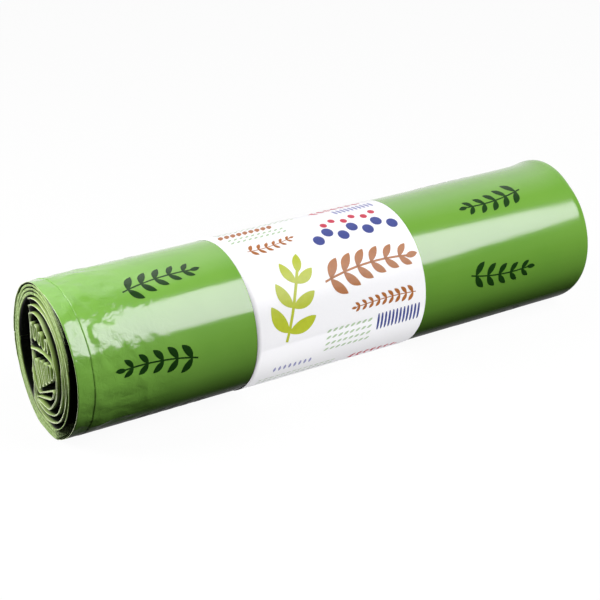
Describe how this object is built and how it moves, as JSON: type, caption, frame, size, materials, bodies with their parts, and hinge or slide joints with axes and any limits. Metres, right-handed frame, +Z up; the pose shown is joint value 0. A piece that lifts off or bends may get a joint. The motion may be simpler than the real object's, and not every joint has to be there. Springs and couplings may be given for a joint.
{
  "type": "bin bag roll",
  "caption": "Coreless roll of green polyethylene bin bags, wound on itself and lying on its side, with a white paper band round its middle.",
  "frame": {"origin": "on the floor, under the middle of the roll's box", "axes": "+X along the roll towards its folded end, +Z up, -Y towards the side that faces the viewer"},
  "size_m": [0.353, 0.0876, 0.0855],
  "materials": {
    "film": "glossy green low-density polyethylene film, with small dark green printed motifs",
    "paper": null
  },
  "bodies": {
    "root": {"bag_roll": "film", "paper_band": "paper"}
  },
  "joints": []
}
